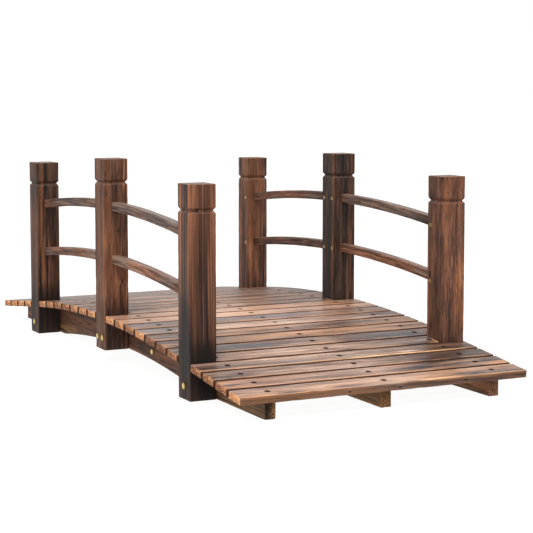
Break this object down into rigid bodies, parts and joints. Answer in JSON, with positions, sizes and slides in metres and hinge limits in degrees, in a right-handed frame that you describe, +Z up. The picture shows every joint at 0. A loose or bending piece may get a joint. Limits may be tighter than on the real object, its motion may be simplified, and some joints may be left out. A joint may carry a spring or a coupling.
{
  "type": "arched wooden garden footbridge",
  "caption": "Small arched garden footbridge with a slatted deck on three stringers, square grooved posts and two bowed handrails along each side.",
  "frame": {"origin": "on the ground, under the middle of the bridge", "axes": "+X along the walk towards the front end, +Y to the right seen from in front, +Z up"},
  "size_m": [1.515, 0.662, 0.4745],
  "materials": {
    "deck_wood": "scorched and brushed softwood, satin",
    "post_wood": "scorched softwood, satin",
    "rail_wood": "scorched softwood, satin",
    "stringer_wood": "scorched softwood, matt",
    "brass": "bright dome heads",
    "black_screws": "blackened steel"
  },
  "bodies": {
    "root": {"post_back_left": "post_wood", "post_back_right": "post_wood", "post_front_left": "post_wood", "post_front_right": "post_wood", "post_middle_left": "post_wood", "post_middle_right": "post_wood", "rail_lower_back_left": "rail_wood", "rail_lower_back_right": "rail_wood", "rail_lower_front_left": "rail_wood", "rail_lower_front_right": "rail_wood", "rail_upper_back_left": "rail_wood", "rail_upper_back_right": "rail_wood", "rail_upper_front_left": "rail_wood", "rail_upper_front_right": "rail_wood", "slat_01": "deck_wood", "slat_02": "deck_wood", "slat_03": "deck_wood", "slat_04": "deck_wood", "slat_05": "deck_wood", "slat_06": "deck_wood", "slat_07": "deck_wood", "slat_08": "deck_wood", "slat_09": "deck_wood", "slat_10": "deck_wood", "slat_11": "deck_wood", "slat_12": "deck_wood", "slat_13": "deck_wood", "slat_14": "deck_wood", "slat_15": "deck_wood", "slat_16": "deck_wood", "slat_17": "deck_wood", "slat_18": "deck_wood", "slat_19": "deck_wood", "slat_20": "deck_wood", "slat_21": "deck_wood", "slat_22": "deck_wood", "slat_23": "deck_wood", "slat_24": "deck_wood", "slat_25": "deck_wood", "splice_plates": "stringer_wood", "stringer_left_back": "stringer_wood", "stringer_left_front": "stringer_wood", "stringer_middle_back": "stringer_wood", "stringer_middle_front": "stringer_wood", "stringer_right_back": "stringer_wood", "stringer_right_front": "stringer_wood"}
  },
  "joints": []
}
